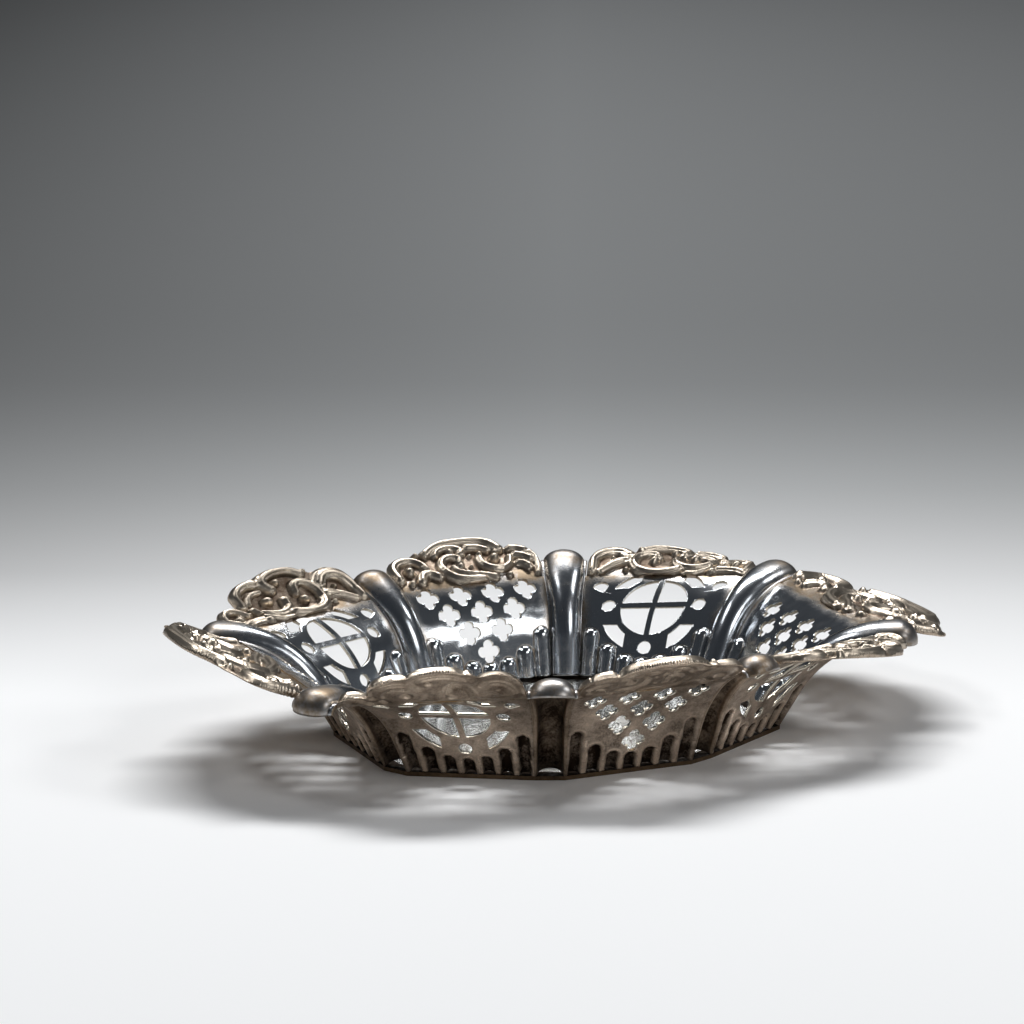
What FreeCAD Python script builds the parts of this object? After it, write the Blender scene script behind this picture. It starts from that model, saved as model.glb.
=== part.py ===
import FreeCAD, Part
import math
import os
import Sketcher
from FreeCAD import Vector

# A pierced oval bonbon dish: a flat plate, eight pierced and fluted wall panels, eight hollow
# lobes between the panels, and eight scroll borders along the rim.
# The origin is the middle of the underside, the long way is X, and up is +Z.

doc = FreeCAD.newDocument("bonbon_dish")

# Driving dimensions, in millimetres and degrees
SIZES = {
    # Plate and sheet
    "plate_thickness": 0.8,
    "sheet": 0.7,
    # Feet of the lobes beside the long ends, and of those beside the long sides
    "end_foot_x": 40.0,
    "end_foot_y": 15.2,
    "side_foot_x": 15.6,
    "side_foot_y": 31.0,
    "end_direction_angle": 28.0,
    "side_direction_angle": 67.5,
    # Wall section: a straight skirt up to the fold, then a sweep that opens like a trumpet
    "end_foot_angle": 60.0,
    "side_foot_angle": 72.0,
    "end_rim_angle": 0.0,
    "side_rim_angle": 26.0,
    "fold_height": 7.0,
    "sweep_radius": 21.0,
    "border_share": 0.22,
    # Lobes: a web between two seams, with a hollow half-round pipe that widens into a hood at the rim
    "lobe_foot_width": 5.6,
    "lobe_rim_width": 9.4,
    "pipe_radius": 2.7,
    "pipe_sheet": 0.6,
    "hood_half_width": 4.4,
    "hood_height": 2.4,
    "hood_radius": 0.9,
    "hood_angle": 96.0,
    "channel_overrun": 0.8,
    # Flutes along the skirt: a groove outside, and a reed over it inside
    "flute_mouth": 2.7,
    "flute_floor": 1.2,
    "flute_depth": 1.15,
    "reed_width": 3.2,
    "reed_crest": 1.6,
    "reed_height": 1.0,
    "flute_nose": 1.4,
    "flute_middle_height": 3.4,
    "flute_outer_height": 8.8,
    # Quatrefoil piercings, in rows of one, two, three and four
    "foil_reach": 2.35,
    "foil_waist": 1.5,
    "foil_pitch": 7.0,
    "foil_row_pitch": 4.0,
    "foil_lowest_row": 6.2,
    # Wheel piercings: a cross in a round opening, four slots between tabs, and two commas
    "wheel_height": 15.0,
    "wheel_radius": 6.4,
    "wheel_ring": 1.2,
    "wheel_slot_radius": 10.0,
    "wheel_bar": 1.1,
    "wheel_tab": 8.6,
    "wheel_hole_radius": 1.3,
    "wheel_hole_reach": 9.0,
    "comma_radius": 1.5,
    "comma_tail_radius": 0.8,
    "comma_out": 12.0,
    "comma_up": 4.6,
    "comma_tail_in": 1.7,
    "comma_tail_down": 0.6,
    # Scroll borders: how far they stand out from the rim, and the scrolls and beads on them
    "border_sheet": 0.8,
    "end_border_reach": 18.6,
    "side_border_reach": 9.4,
    "diagonal_border_reach": 10.0,
    "scroll_width_share": 0.031,
    "scroll_height": 0.95,
    "bead_radius": 1.2,
    "bead_height": 1.1,
    # How far each border is bent up or down from the slope of the rim
    "left_lift_angle": 22.0,
    "right_lift_angle": -13.0,
    "back_lift_angle": 0.0,
    "front_lift_angle": 10.0,
    "back_right_lift_angle": -12.0,
    "front_right_lift_angle": -12.0,
    "back_left_lift_angle": 26.0,
    "front_left_lift_angle": 28.0,
    # Tools that pierce and trim
    "punch_reach": 5.0,
    "overrun": 2.0,
}
FLUTES = 7
FOIL_ROWS = (1, 2, 3, 4)
# Straight chords stand in for the curves: so many along the sweep of a panel, over the half-round
# of a pipe, round its hood, and round the openings
SWEEP_CHORDS = 4
PIPE_CHORDS = 5
HOOD_CHORDS = 3
ROUND_SIDES = 16
SMALL_SIDES = 8
FOIL_TURN = 19

sheet = doc.addObject("Spreadsheet::Sheet", "Sizes")
for row, (alias, number) in enumerate(SIZES.items(), start=1):
    sheet.set("A%d" % row, alias)
    sheet.set("B%d" % row, str(number))
    sheet.setAlias("B%d" % row, alias)
doc.recompute()


def size(alias):
    return float(sheet.get(alias))


def value(text):
    return float(sheet.evalExpression(text.replace("Sizes.", "")))


# The document tree

def bound(kind, name, placement=None, **cells):
    """A document object whose properties follow expressions on the sheet."""
    thing = doc.addObject(kind, name)
    for prop, text in cells.items():
        thing.setExpression(prop, text)
    if placement:
        thing.Placement = placement
    return thing


def at_point(x, y, z):
    return FreeCAD.Placement(Vector(x, y, z), FreeCAD.Rotation())


def axes(origin, x_axis, z_axis):
    """A placement from its origin and its local X and Z directions."""
    return FreeCAD.Placement(origin, FreeCAD.Rotation(x_axis, z_axis.cross(x_axis), z_axis, "ZXY"))


def fuse(name, pieces):
    thing = doc.addObject("Part::MultiFuse", name)
    thing.Shapes = pieces
    return thing


def cut(name, base, tool):
    thing = doc.addObject("Part::Cut", name)
    thing.Base = base
    thing.Tool = tool
    return thing


def mirrored(name, source, normal):
    thing = doc.addObject("Part::Mirroring", name)
    thing.Source = source
    thing.Normal = normal
    return thing


def outline(name, corners, placement):
    """A closed sketch through corners given as expressions."""
    sketch = doc.addObject("Sketcher::SketchObject", name)
    places = [Vector(value(x), value(y), 0) for x, y in corners]
    count = len(corners)
    for i in range(count):
        sketch.addGeometry(Part.LineSegment(places[i], places[(i + 1) % count]), False)
    for i in range(count):
        sketch.addConstraint(Sketcher.Constraint("Coincident", i, 2, (i + 1) % count, 1))
    for i, (x, y) in enumerate(corners):
        for kind, text, number in (("DistanceX", x, places[i].x), ("DistanceY", y, places[i].y)):
            index = sketch.addConstraint(Sketcher.Constraint(kind, -1, 1, i, 1, number))
            sketch.setExpression("Constraints[%d]" % index, text)
    sketch.Placement = placement
    return sketch


# Seams: each lobe has one on either side, and the sheets beside it meet there

class Seam:
    """A vertical plane along one side of a lobe, from its foot out past its rim."""

    def __init__(self, kind, side, mirror=(1, 1)):
        self.kind = kind
        self.mirror = mirror
        self.foot_slope = "Sizes.%s_foot_angle" % kind
        self.rim_slope = "Sizes.%s_rim_angle" % kind
        self.direction = math.radians(size(kind + "_direction_angle"))
        across = Vector(-math.sin(self.direction), math.cos(self.direction), 0)
        centre = Vector(size(kind + "_foot_x"), size(kind + "_foot_y"), size("plate_thickness"))
        self.lobe_foot = self.flipped(centre)
        self.foot = self.flipped(centre + across * (side * size("lobe_foot_width") / 2))
        spread = (size("lobe_rim_width") - size("lobe_foot_width")) / 2
        run = self.run_and_rise(2)[0]
        turned = self.direction + side * math.asin(spread / run)
        self.outward = self.flipped(Vector(math.cos(turned), math.sin(turned), 0))
        self.lobe_outward = self.flipped(Vector(math.cos(self.direction), math.sin(self.direction), 0))

    def flipped(self, vector):
        return Vector(vector.x * self.mirror[0], vector.y * self.mirror[1], vector.z)

    def run_and_rise(self, up):
        """How far out and how high the outer face is: up is 0 at the foot, 1 the fold, 2 the rim."""
        start = math.radians(value(self.foot_slope))
        fold = size("fold_height")
        if up <= 1:
            return up * fold / math.tan(start), up * fold
        end = math.radians(value(self.rim_slope))
        slope = start + (end - start) * (up - 1)
        radius = size("sweep_radius")
        run = fold / math.tan(start) + radius * (math.sin(start) - math.sin(slope))
        return run, fold + radius * (math.cos(slope) - math.cos(start))

    def point(self, up):
        run, rise = self.run_and_rise(up)
        return self.foot + self.outward * run + Vector(0, 0, rise)

    def slope(self, share):
        """The slope at a share of the sweep, with 0 at the fold and 1 at the rim."""
        return "(%s + (%s - %s) * %s)" % (self.foot_slope, self.rim_slope, self.foot_slope, share)

    def corner(self, slope, inside="0"):
        """Where the sweep has a slope, on the outer face or a distance inside it."""
        radius = "(Sizes.sweep_radius + %s)" % inside
        run = "Sizes.fold_height / tan(%s) + Sizes.sweep_radius * sin(%s)" % (
            self.foot_slope, self.foot_slope)
        rise = "Sizes.fold_height - Sizes.sweep_radius * cos(%s)" % self.foot_slope
        return "%s - %s * sin(%s)" % (run, radius, slope), "%s + %s * cos(%s)" % (rise, radius, slope)

    def plane(self):
        return axes(self.foot, self.outward, self.outward.cross(Vector(0, 0, 1)))


# The corners of the sweep: the panels end at the last but one, and the borders carry on from there
CORNERS = ["((1 - Sizes.border_share) * %.6f)" % (i / SWEEP_CHORDS) for i in range(SWEEP_CHORDS + 1)]
CORNERS.append("1")


def wall_section(seam, corners):
    """The section of the sheet at a seam, from its foot up to the last of the given corners."""
    slopes = [seam.slope(share) for share in corners]
    outer = [seam.corner(slope) for slope in slopes]
    inner = [seam.corner(slope, "Sizes.sheet") for slope in slopes]
    return [("0", "0")] + outer + inner[::-1] + [("-Sizes.sheet / sin(%s)" % seam.foot_slope, "0")]


def border_section(seam, reach, lift):
    """The section of a border: the last of the sweep, then straight out and bent up or down."""
    slopes = [seam.slope(share) for share in CORNERS[-2:]]
    outer = [seam.corner(slope) for slope in slopes]
    inner = [seam.corner(slope, "Sizes.border_sheet") for slope in slopes]
    bent = "(%s + %s)" % (seam.rim_slope, lift)
    tip_x = "%s + %s * cos(%s)" % (outer[-1][0], reach, bent)
    tip_y = "%s + %s * sin(%s)" % (outer[-1][1], reach, bent)
    tip_inner = ("%s - Sizes.border_sheet * sin(%s)" % (tip_x, bent),
                 "%s + Sizes.border_sheet * cos(%s)" % (tip_y, bent))
    return outer + [(tip_x, tip_y), tip_inner] + inner[::-1]


def skin(name, steps, caps):
    """A solid with flat triangles between matching loops of corners, folded alike on both faces."""
    faces = [Part.Face(Part.makePolygon(loop + loop[:1])) for loop in caps]
    for near, far in steps:
        count = len(near)
        for i in range(count):
            after = (i + 1) % count
            low, high = (i, after) if i < count / 2 else (after, i)
            for corners in ([near[low], near[high], far[high]], [near[low], far[high], far[low]]):
                faces.append(Part.Face(Part.makePolygon(corners + corners[:1])))
    solid = Part.Solid(Part.Shell(faces))
    if solid.Volume < 0:
        solid.reverse()
    thing = doc.addObject("Part::Feature", name)
    thing.Shape = solid.removeSplitter()
    return thing


def between(name, left, right, section):
    """The sheet between the sections at two seams, folded once down its middle."""
    ends = []
    for seam in (left, right):
        flat = [Vector(value(x), value(y), 0) for x, y in section(seam)]
        ends.append([seam.plane().multVec(point) for point in flat])
    middle = [(a + b) / 2 for a, b in zip(*ends)]
    return skin(name, [(middle, ends[0]), (middle, ends[1])], ends)


class Wall:
    """The ruled outer face between two seams, left and right as seen from inside the dish."""

    def __init__(self, left, right):
        self.left = left
        self.right = right

    def point(self, share, up):
        return self.left.point(up) * (1 - share) + self.right.point(up) * share

    def width(self, up):
        return (self.right.point(up) - self.left.point(up)).Length

    def frame(self, share, up, lift=0.0):
        """A placement on the wall: X to the right, Y up the wall, Z inward."""
        across = (self.right.point(up) - self.left.point(up)).normalize()
        rise = self.point(share, up + 1 / 64) - self.point(share, up)
        inward = across.cross(rise).normalize()
        return axes(self.point(share, up) + inward * lift, across, inward)

    def up_at(self, share, distance):
        """Where a distance up the wall from the foot lies, with the fold at 1 and the rim at 2."""
        skirt = (self.point(share, 1) - self.point(share, 0)).Length
        if distance <= skirt:
            return distance / skirt
        left, right = [math.radians(value(s.foot_slope) - value(s.rim_slope))
                       for s in (self.left, self.right)]
        return 1 + (distance - skirt) / (size("sweep_radius") * (left * (1 - share) + right * share))


def floor_tool(name):
    """Everything below the top of the plate, to trim what stands on it."""
    depth = "Sizes.overrun * 3"
    corner = at_point(-2 * size("end_foot_x"), -2 * size("side_foot_y"),
                      size("plate_thickness") - value(depth))
    return bound("Part::Box", name, corner, Length="Sizes.end_foot_x * 4",
                 Width="Sizes.side_foot_y * 4", Height=depth)


# Base plate: a flat sheet with a corner at the foot of every seam

def base_plate():
    body = doc.addObject("PartDesign::Body", "base_plate")
    corners = []
    quadrants = ((1, 1), (-1, 1), (-1, -1), (1, -1))
    for turn, (sign_x, sign_y) in enumerate(quadrants):
        quarter = []
        for kind, side in (("end", -1), ("end", 1), ("side", -1), ("side", 1)):
            x = "%d * (Sizes.%s_foot_x - %d * sin(Sizes.%s_direction_angle) * Sizes.lobe_foot_width / 2)"
            y = "%d * (Sizes.%s_foot_y + %d * cos(Sizes.%s_direction_angle) * Sizes.lobe_foot_width / 2)"
            quarter.append((x % (sign_x, kind, side, kind), y % (sign_y, kind, side, kind)))
        corners += quarter if turn % 2 == 0 else reversed(quarter)
    sketch = outline("base_plate_outline", corners, FreeCAD.Placement())
    body.addObject(sketch)
    plane = [f for f in body.Origin.OriginFeatures if f.Role == "XY_Plane"][0]
    sketch.AttachmentSupport = [(plane, "")]
    sketch.MapMode = "FlatFace"
    pad = body.newObject("PartDesign::Pad", "base_plate_pad")
    pad.Profile = sketch
    pad.setExpression("Length", "Sizes.plate_thickness")
    return body


# Flutes: a row along the skirt, tallest beside the lobes

def flute(name, wall, index):
    """One flute: its groove and its reed, each a wedge with sloping sides and nose."""
    middle = (FLUTES - 1) / 2
    from_middle = (index - middle) / middle
    frame = wall.frame((index + 0.5) / FLUTES, 0.5)
    rise = frame.Rotation.multVec(Vector(0, 1, 0))
    inward = frame.Rotation.multVec(Vector(0, 0, 1))
    foot = wall.point((index + 0.5) / FLUTES, 0) - rise * size("overrun")
    placed = axes(foot, inward.cross(rise), rise)
    height = "(Sizes.flute_middle_height + (Sizes.flute_outer_height - Sizes.flute_middle_height) * %.6f)"
    length = "(Sizes.overrun + " + height % from_middle ** 2 + " / %.6f)" % rise.z
    mouth = "(Sizes.flute_mouth - Sizes.flute_floor / 2)"
    groove = bound("Part::Wedge", name + "_groove", placed, Ymin="-Sizes.flute_depth",
                   Ymax="Sizes.flute_depth", Xmin="-" + mouth, Xmax=mouth, Zmin="0",
                   Zmax=length + " + Sizes.flute_nose", X2min="-Sizes.flute_floor / 2",
                   X2max="Sizes.flute_floor / 2", Z2min="0", Z2max=length + " - Sizes.flute_nose")
    reed = bound("Part::Wedge", name + "_reed", placed, Ymin="Sizes.sheet / 2",
                 Ymax="Sizes.sheet + Sizes.reed_height", Xmin="-Sizes.reed_width / 2",
                 Xmax="Sizes.reed_width / 2", Zmin="0", Zmax=length + " + Sizes.flute_nose",
                 X2min="-Sizes.reed_crest / 2", X2max="Sizes.reed_crest / 2", Z2min="0",
                 Z2max=length)
    return groove, reed


# Quatrefoils: punched square to the wall, each row narrower than the one above

def foil_face():
    """A four-lobed outline: each lobe has two shoulders, and a waist lies between lobes."""
    points = []
    for lobe_index in range(4):
        for turn, reach in ((-FOIL_TURN, "foil_reach"), (FOIL_TURN, "foil_reach"), (45, "foil_waist")):
            angle = math.radians(90 * lobe_index + turn)
            points.append(Vector(math.cos(angle), math.sin(angle), 0) * size(reach))
    return Part.Face(Part.makePolygon(points + points[:1]))


def quatrefoils(name, wall):
    punches = []
    prism = foil_face().extrude(Vector(0, 0, 2 * size("punch_reach")))
    for row, count in enumerate(FOIL_ROWS):
        up = wall.up_at(0.5, size("foil_lowest_row") + row * size("foil_row_pitch"))
        for column in range(count):
            offset = (column - (count - 1) / 2) * size("foil_pitch")
            punch = prism.copy()
            punch.Placement = wall.frame(0.5 + offset / wall.width(up), up, -size("punch_reach"))
            punches.append(punch)
    tool = doc.addObject("Part::Feature", name + "_quatrefoils")
    tool.Shape = Part.makeCompound(punches)
    return [tool]


# Wheel: round opening with a cross, slots round it, holes in the tabs, commas in the corners

def wheel(name, wall):
    deep = "Sizes.punch_reach * 2"
    placed = wall.frame(0.5, wall.up_at(0.5, size("wheel_height")), -size("punch_reach"))

    def disc(suffix, radius, x=0.0, y=0.0, sides=SMALL_SIDES):
        return bound("Part::Prism", name + suffix, at_point(x, y, 0), Circumradius=radius,
                     Height=deep, Polygon=str(sides))

    def cross(suffix, width):
        """Two bars at right angles, long enough to cross the whole wheel."""
        half = value(width) / 2
        reach = 2 * size("wheel_slot_radius")
        flat = bound("Part::Box", name + suffix + "_flat", at_point(-reach, -half, 0),
                     Length="Sizes.wheel_slot_radius * 4", Width=width, Height=deep)
        tall = bound("Part::Box", name + suffix + "_tall", at_point(-half, -reach, 0),
                     Length=width, Width="Sizes.wheel_slot_radius * 4", Height=deep)
        return [flat, tall]

    opening = cut(name + "_opening", disc("_opening_disc", "Sizes.wheel_radius", sides=ROUND_SIDES),
                  fuse(name + "_cross", cross("_bar", "Sizes.wheel_bar")))
    ring = disc("_ring", "Sizes.wheel_radius + Sizes.wheel_ring", sides=ROUND_SIDES)
    kept = [ring] + cross("_tab", "Sizes.wheel_tab")
    slots = cut(name + "_slots", disc("_slot_disc", "Sizes.wheel_slot_radius", sides=ROUND_SIDES),
                fuse(name + "_kept", kept))
    reach = size("wheel_hole_reach")
    holes = [disc("_hole_%d" % i, "Sizes.wheel_hole_radius", x * reach, y * reach)
             for i, (x, y) in enumerate(((-1, 0), (0, -1), (1, 0)))]
    commas = []
    for side in (-1, 1):
        out, up = size("comma_out"), size("comma_up")
        inner, lower = out - size("comma_tail_in"), up - size("comma_tail_down")
        commas.append(disc("_comma_%d" % (side + 1), "Sizes.comma_radius", side * out, up))
        commas.append(disc("_tail_%d" % (side + 1), "Sizes.comma_tail_radius", side * inner, lower))
    tool = fuse(name + "_wheel", [opening, slots] + holes + commas)
    tool.Placement = placed
    return [tool]


# Panels: fluted and pierced sheet between two lobes

def panel(name, left, right, piercing):
    wall = Wall(left, right)
    plain = between(name + "_sheet", left, right, lambda seam: wall_section(seam, CORNERS[:-1]))
    pairs = [flute("%s_flute_%d" % (name, i + 1), wall, i) for i in range(FLUTES)]
    fluted = fuse(name + "_fluted", [plain] + [reed for _, reed in pairs])
    tools = [groove for groove, _ in pairs] + piercing(name, wall) + [floor_tool(name + "_floor")]
    return cut(name, fluted, fuse(name + "_tools", tools))


# Lobes: a web with a hollow pipe down its middle, which widens into a hood over the rim

def lobe(name, kind):
    left, right = Seam(kind, 1), Seam(kind, -1)
    web = between(name + "_web", left, right, lambda seam: wall_section(seam, CORNERS))
    outward = left.lobe_outward
    across = Vector(0, 0, 1).cross(outward)
    # Stations along the pipe: where, at what slope, and how wide and tall it is there
    pipe = ("Sizes.pipe_radius", "Sizes.pipe_radius")
    hood = ("Sizes.hood_half_width", "Sizes.hood_height")
    start = ("-Sizes.overrun * cos(%s)" % left.foot_slope, "-Sizes.overrun * sin(%s)" % left.foot_slope)
    stations = [(start, left.foot_slope, pipe)]
    for share in CORNERS:
        slope = left.slope(share)
        stations.append((left.corner(slope), slope, hood if share == "1" else pipe))
    rim_x, rim_y = left.corner(left.rim_slope)
    curl = (rim_x + " + Sizes.hood_radius * sin(%s)" % left.rim_slope,
            rim_y + " - Sizes.hood_radius * cos(%s)" % left.rim_slope)
    for i in range(1, HOOD_CHORDS + 1):
        slope = "(%s - Sizes.hood_angle * %.6f)" % (left.rim_slope, i / HOOD_CHORDS)
        place = (curl[0] + " - Sizes.hood_radius * sin(%s)" % slope,
                 curl[1] + " + Sizes.hood_radius * cos(%s)" % slope)
        stations.append((place, slope, hood))

    def shell(suffix, inside, below):
        """The half-round through every station, a distance inside the pipe."""
        loops = []
        for place, slope, (wide, tall) in stations:
            tilt = math.radians(value(slope))
            along = outward * math.cos(tilt) + Vector(0, 0, math.sin(tilt))
            origin = left.lobe_foot + outward * value(place[0]) + Vector(0, 0, value(place[1]))
            arch = []
            for turn in range(PIPE_CHORDS + 1):
                angle = math.pi * turn / PIPE_CHORDS
                arch.append(Vector((value(wide) - inside) * math.cos(angle),
                                   (value(tall) - inside) * math.sin(angle), 0))
            if below:
                arch += [arch[-1] - Vector(0, below, 0), arch[0] - Vector(0, below, 0)]
            station = axes(origin, across, along)
            loops.append([station.multVec(point) for point in arch])
        return skin(name + suffix, list(zip(loops, loops[1:])), [loops[0], loops[-1]])

    tools = fuse(name + "_tools", [shell("_bore", size("pipe_sheet"), size("channel_overrun")),
                                   floor_tool(name + "_floor")])
    return cut(name, fuse(name + "_solid", [web, shell("_pipe", 0, 0)]), tools)


# Borders: a sheet that carries on from the panel, cut to its outline, with scrolls and beads on it

# Shares of a border's half-width and of its height. The two designs are the one over a wheel,
# with its side lobe on the left, and the one over quatrefoils.
WHEEL_EDGE_SHARES = (
    (-1.1, -0.3), (-1.1, 0.3), (-0.97, 0.52), (-0.88, 0.68), (-0.75, 0.77), (-0.58, 0.76), (-0.5, 0.84),
    (-0.32, 0.95), (-0.1, 1.0), (0.08, 0.97), (0.25, 0.95), (0.4, 0.9), (0.52, 0.78),
    (0.59, 0.57), (0.7, 0.6), (0.83, 0.58), (0.94, 0.45), (1.1, 0.2), (1.1, -0.3))
WHEEL_SCROLL_SHARES = (
    ((-0.93, 0.2), (-0.9, 0.48), (-0.76, 0.63), (-0.55, 0.56)),
    ((-0.25, 0.64), (-0.43, 0.58), (-0.46, 0.28), (-0.27, 0.07), (0.02, 0.07)),
    ((-0.4, 0.82), (-0.2, 0.91), (0.04, 0.88), (0.06, 0.68)),
    ((0.26, 0.88), (0.42, 0.8), (0.54, 0.53)),
    ((0.02, 0.42), (0.12, 0.21), (0.34, 0.19), (0.46, 0.38)),
    ((0.63, 0.4), (0.75, 0.53), (0.9, 0.4), (0.93, 0.16)))
WHEEL_BEAD_SHARES = ((-0.69, 0.27), (-0.22, 0.36), (0.23, 0.54), (0.76, 0.26))
FOIL_EDGE_SHARES = (
    (-1.1, -0.3), (-1.1, 0.3), (-0.95, 0.55), (-0.82, 0.68), (-0.66, 0.73), (-0.44, 0.81),
    (-0.3, 0.92), (-0.15, 0.99), (0.1, 1.0), (0.32, 0.96), (0.48, 0.86), (0.57, 0.75), (0.72, 0.77),
    (0.86, 0.68), (0.95, 0.52), (1.1, 0.3), (1.1, -0.3))
FOIL_SCROLL_SHARES = (
    ((-0.92, 0.34), (-0.84, 0.56), (-0.68, 0.62), (-0.53, 0.45)),
    ((-0.38, 0.8), (-0.17, 0.91), (0.1, 0.93), (0.36, 0.86), (0.49, 0.66)),
    ((-0.05, 0.58), (-0.24, 0.56), (-0.29, 0.32), (-0.12, 0.1), (0.16, 0.06)),
    ((0.22, 0.48), (0.3, 0.27), (0.53, 0.26), (0.61, 0.46)),
    ((0.66, 0.66), (0.82, 0.6), (0.92, 0.42), (0.93, 0.18)))
FOIL_BEAD_SHARES = ((-0.72, 0.34), (-0.06, 0.36), (0.41, 0.5), (0.73, 0.34))
CREST_SHARE = 0.5
TIP_SHARE = 0.6
ROOT_SHARE = 0.5
BEAD_SIDES = 5


class Brim:
    """The outer face of a border: across from -1 to 1, and out from 0 at its foot to 1 at its top."""

    def __init__(self, left, right, reach, lift):
        self.sides = []
        for seam in (left, right):
            section = [Vector(value(x), value(y), 0) for x, y in border_section(seam, reach, lift)[:3]]
            self.sides.append([seam.plane().multVec(corner) for corner in section])
        self.across = self.sides[1][1] - self.sides[0][1]

    def frame(self, across, out):
        """The point there and the direction inward."""
        share = (1 + across) / 2
        points, ways = [], []
        for foot, rim, tip in self.sides:
            lead, reach = (rim - foot).Length, (tip - rim).Length
            distance = out * (lead + reach)
            below = distance <= lead
            way = (rim - foot) / lead if below else (tip - rim) / reach
            points.append(foot + way * distance if below else rim + way * (distance - lead))
            ways.append(way)
        point = points[0] * (1 - share) + points[1] * share
        way = ways[0] * (1 - share) + ways[1] * share
        return point, self.across.cross(way).normalize()


def scroll(name, brim, path):
    """A rolled scroll as a bar of four-sided section, lower and narrower at its ends."""
    half = brim.across.Length * size("scroll_width_share")
    root = size("border_sheet") * ROOT_SHARE
    frames = [brim.frame(*place) for place in path]
    last = len(path) - 1
    loops = []
    for i, (point, inward) in enumerate(frames):
        way = frames[min(i + 1, last)][0] - frames[max(i - 1, 0)][0]
        aside = way.cross(inward).normalize()
        share = TIP_SHARE if i in (0, last) else 1
        top = size("border_sheet") + size("scroll_height") * share
        corners = ((half, root), (half * CREST_SHARE, top), (-half * CREST_SHARE, top), (-half, root))
        loops.append([point + aside * (x * share) + inward * y for x, y in corners])
    return skin(name, list(zip(loops, loops[1:])), [loops[0], loops[-1]])


def bead(name, brim, place):
    """A bead as a five-sided stud with sloping sides."""
    point, inward = brim.frame(*place)
    level = axes(point, brim.across, inward)
    loops = []
    for share, height in ((1, size("border_sheet") * ROOT_SHARE),
                          (CREST_SHARE, size("border_sheet") + size("bead_height"))):
        reach = size("bead_radius") * share
        turns = [2 * math.pi * i / BEAD_SIDES for i in range(BEAD_SIDES)]
        loops.append([level.multVec(Vector(math.cos(turn) * reach, math.sin(turn) * reach, height))
                      for turn in turns])
    return skin(name, [loops], loops)


def border(name, left, right, shape, lift):
    reach = "Sizes.%s_border_reach" % shape
    blank = between(name + "_blank", left, right, lambda seam: border_section(seam, reach, lift))
    brim = Brim(left, right, reach, lift)
    design = (FOIL_EDGE_SHARES, FOIL_SCROLL_SHARES, FOIL_BEAD_SHARES)
    if shape == "diagonal":
        design = (WHEEL_EDGE_SHARES, WHEEL_SCROLL_SHARES, WHEEL_BEAD_SHARES)
    turned = -1 if shape == "diagonal" and left.kind == "end" else 1
    edge, scrolls, beads = design
    corners = [brim.frame(across * turned, out)[0] for across, out in edge]
    flat = [Vector(corner.x, corner.y, 0) for corner in corners]
    face = doc.addObject("Part::Feature", name + "_edge")
    face.Shape = Part.Face(Part.makePolygon(flat + flat[:1]))
    tool = bound("Part::Extrusion", name + "_outline", LengthFwd="Sizes.fold_height * 6")
    tool.Base = face
    tool.DirMode = "Custom"
    tool.Dir = Vector(0, 0, 1)
    tool.Solid = True
    cut_out = doc.addObject("Part::MultiCommon", name + "_sheet")
    cut_out.Shapes = [blank, tool]
    relief = [scroll("%s_scroll_%d" % (name, i + 1), brim, [(x * turned, y) for x, y in path])
              for i, path in enumerate(scrolls)]
    relief += [bead("%s_bead_%d" % (name, i + 1), brim, (x * turned, y)) for i, (x, y) in enumerate(beads)]
    return fuse(name, [cut_out] + relief)


ACROSS_X, ACROSS_Y = Vector(1, 0, 0), Vector(0, 1, 0)
nodes = [base_plate()]

right_quatrefoil = panel("quatrefoil_panel_right", Seam("end", -1), Seam("end", -1, (1, -1)), quatrefoils)
back_quatrefoil = panel("quatrefoil_panel_back", Seam("side", 1, (-1, 1)), Seam("side", 1), quatrefoils)
corner_wheel = panel("wheel_panel_back_right", Seam("side", -1), Seam("end", 1), wheel)
front_wheel = mirrored("wheel_panel_front_right", corner_wheel, ACROSS_Y)
nodes += [right_quatrefoil, mirrored("quatrefoil_panel_left", right_quatrefoil, ACROSS_X),
          back_quatrefoil, mirrored("quatrefoil_panel_front", back_quatrefoil, ACROSS_Y),
          corner_wheel, front_wheel,
          mirrored("wheel_panel_back_left", corner_wheel, ACROSS_X),
          mirrored("wheel_panel_front_left", front_wheel, ACROSS_X)]

for kind, names in (("end", ("right_back", "right_front", "left_back", "left_front")),
                    ("side", ("back_right", "front_right", "back_left", "front_left"))):
    first = lobe("lobe_" + names[0], kind)
    second = mirrored("lobe_" + names[1], first, ACROSS_Y)
    nodes += [first, second, mirrored("lobe_" + names[2], first, ACROSS_X),
              mirrored("lobe_" + names[3], second, ACROSS_X)]

# Each border is named after its place; its seams are left and right as seen from inside
BORDERS = {
    "right": ("end", ("end", -1, (1, 1)), ("end", -1, (1, -1))),
    "left": ("end", ("end", -1, (-1, -1)), ("end", -1, (-1, 1))),
    "back": ("side", ("side", 1, (-1, 1)), ("side", 1, (1, 1))),
    "front": ("side", ("side", 1, (1, -1)), ("side", 1, (-1, -1))),
    "back_right": ("diagonal", ("side", -1, (1, 1)), ("end", 1, (1, 1))),
    "front_right": ("diagonal", ("end", 1, (1, -1)), ("side", -1, (1, -1))),
    "back_left": ("diagonal", ("end", 1, (-1, 1)), ("side", -1, (-1, 1))),
    "front_left": ("diagonal", ("side", -1, (-1, -1)), ("end", 1, (-1, -1))),
}
for place, (shape, left, right) in BORDERS.items():
    lift = "Sizes.%s_lift_angle" % place
    nodes.append(border("scroll_border_" + place, Seam(*left), Seam(*right), shape, lift))

doc.recompute()

# Every object has to be sound before anything is written
for thing in doc.Objects:
    if "Invalid" in thing.State or "Error" in thing.State:
        raise RuntimeError("%s is %s" % (thing.Name, thing.State))
for node in nodes:
    if node.Shape.isNull() or not node.Shape.isValid():
        raise RuntimeError("%s has no valid shape" % node.Name)

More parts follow.
